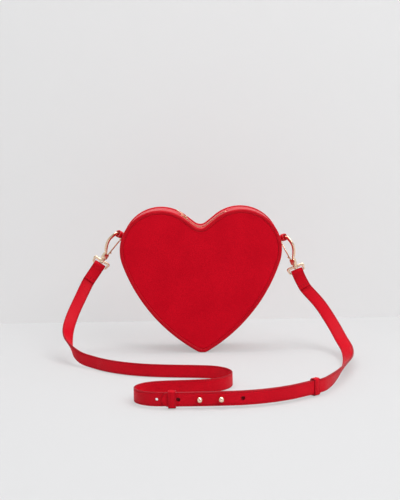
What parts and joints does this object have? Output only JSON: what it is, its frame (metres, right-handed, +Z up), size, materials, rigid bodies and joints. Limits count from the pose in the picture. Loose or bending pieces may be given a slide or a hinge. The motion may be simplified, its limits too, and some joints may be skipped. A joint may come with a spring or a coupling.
{
  "type": "heart shaped purse",
  "caption": "Heart shaped leather box bag with a zip over the cleft, side snap hooks and a long adjustable strap joined by ball studs, standing on its tip.",
  "frame": {"origin": "on the floor, under the tip, at the middle of the front edging's depth", "axes": "+X to the right as seen from the front, +Y from the front to the back of the bag, +Z up"},
  "size_m": [0.3507, 0.3352, 0.178],
  "materials": {
    "panel_leather": "fine grained red leather, semi matt",
    "edging_leather": "smooth red leather, satin, painted edge",
    "gusset_leather": "fine grained red leather, satin",
    "strap_leather": "smooth red leather, satin, with painted edges and stitching",
    "foam": "thin padding",
    "board": "stiffening board",
    "lining": "plain woven lining",
    "zip_tape": "woven red tape",
    "zip_metal": "pale gold plating, polished",
    "gold_metal": "pale rose gold plating, polished",
    "spring_steel": "bright spring steel"
  },
  "bodies": {
    "bag": {"front_panel": "panel_leather", "front_padding": "foam", "front_board": "board", "front_edging": "edging_leather", "back_panel": "panel_leather", "back_padding": "foam", "back_board": "board", "back_edging": "edging_leather", "top_gusset": "gusset_leather", "lower_gusset": "gusset_leather", "gusset_board": "board", "lining": "lining", "zip_tape_front": "zip_tape", "zip_tape_back": "zip_tape", "zip_teeth_front": "zip_metal", "zip_teeth_back": "zip_metal", "zip_stops": "zip_metal", "left_tab": "gusset_leather", "right_tab": "gusset_leather", "left_strap_ring": "gold_metal", "right_strap_ring": "gold_metal", "long_strap": "strap_leather", "short_strap": "strap_leather", "strap_studs": "gold_metal", "stud_screws": "gold_metal"},
    "left_hook": {"left_hook_body": "gold_metal", "left_gate_pin": "gold_metal", "left_gate_spring": "spring_steel"},
    "left_gate_arm": {"left_gate": "gold_metal"},
    "right_hook": {"right_hook_body": "gold_metal", "right_gate_pin": "gold_metal", "right_gate_spring": "spring_steel"},
    "right_gate_arm": {"right_gate": "gold_metal"},
    "zip_runner": {"zip_slider": "zip_metal"},
    "zip_pull_tab": {"zip_puller": "zip_metal"},
    "tip_loop": {"tip_keeper": "strap_leather"},
    "end_loop": {"end_keeper": "strap_leather"}
  },
  "joints": [
    {"name": "left_swivel", "type": "hinge", "parent": "bag", "child": "left_hook", "pos_m": [-0.12389, 0.026, 0.11389], "axis": [0.5592, 0, 0.829], "range_deg": [-8, 18]},
    {"name": "left_gate_hinge", "type": "hinge", "parent": "left_hook", "child": "left_gate_arm", "pos_m": [-0.11808, 0.02744, 0.11908], "axis": [0.4989, -0.7986, -0.3365], "range_deg": [0, 22], "stiffness_Nm_per_rad": 0.02, "springref_deg": -8.59},
    {"name": "right_swivel", "type": "hinge", "parent": "bag", "child": "right_hook", "pos_m": [0.11813, 0.026, 0.10189], "axis": [-0.3584, 0, 0.9336], "range_deg": [-18, 8]},
    {"name": "right_gate_hinge", "type": "hinge", "parent": "right_hook", "child": "right_gate_arm", "pos_m": [0.11363, 0.02744, 0.10825], "axis": [0.5618, 0.7986, 0.2157], "range_deg": [0, 22], "stiffness_Nm_per_rad": 0.02, "springref_deg": -8.59},
    {"name": "zip_slide", "type": "slide", "parent": "bag", "child": "zip_runner", "axis": [0.788, 0, -0.6157], "range_m": [0, 0.0115]},
    {"name": "zip_pull", "type": "hinge", "parent": "zip_runner", "child": "zip_pull_tab", "pos_m": [-0.01756, 0.026, 0.16693], "axis": [0, 1, 0], "range_deg": [0, 150]},
    {"name": "tip_loop_slide", "type": "slide", "parent": "bag", "child": "tip_loop", "axis": [1, 0, 0], "range_m": [-0.006, 0.016]},
    {"name": "end_loop_slide", "type": "slide", "parent": "bag", "child": "end_loop", "axis": [0.7431, 0.6691, 0], "range_m": [-0.006, 0.006]}
  ]
}
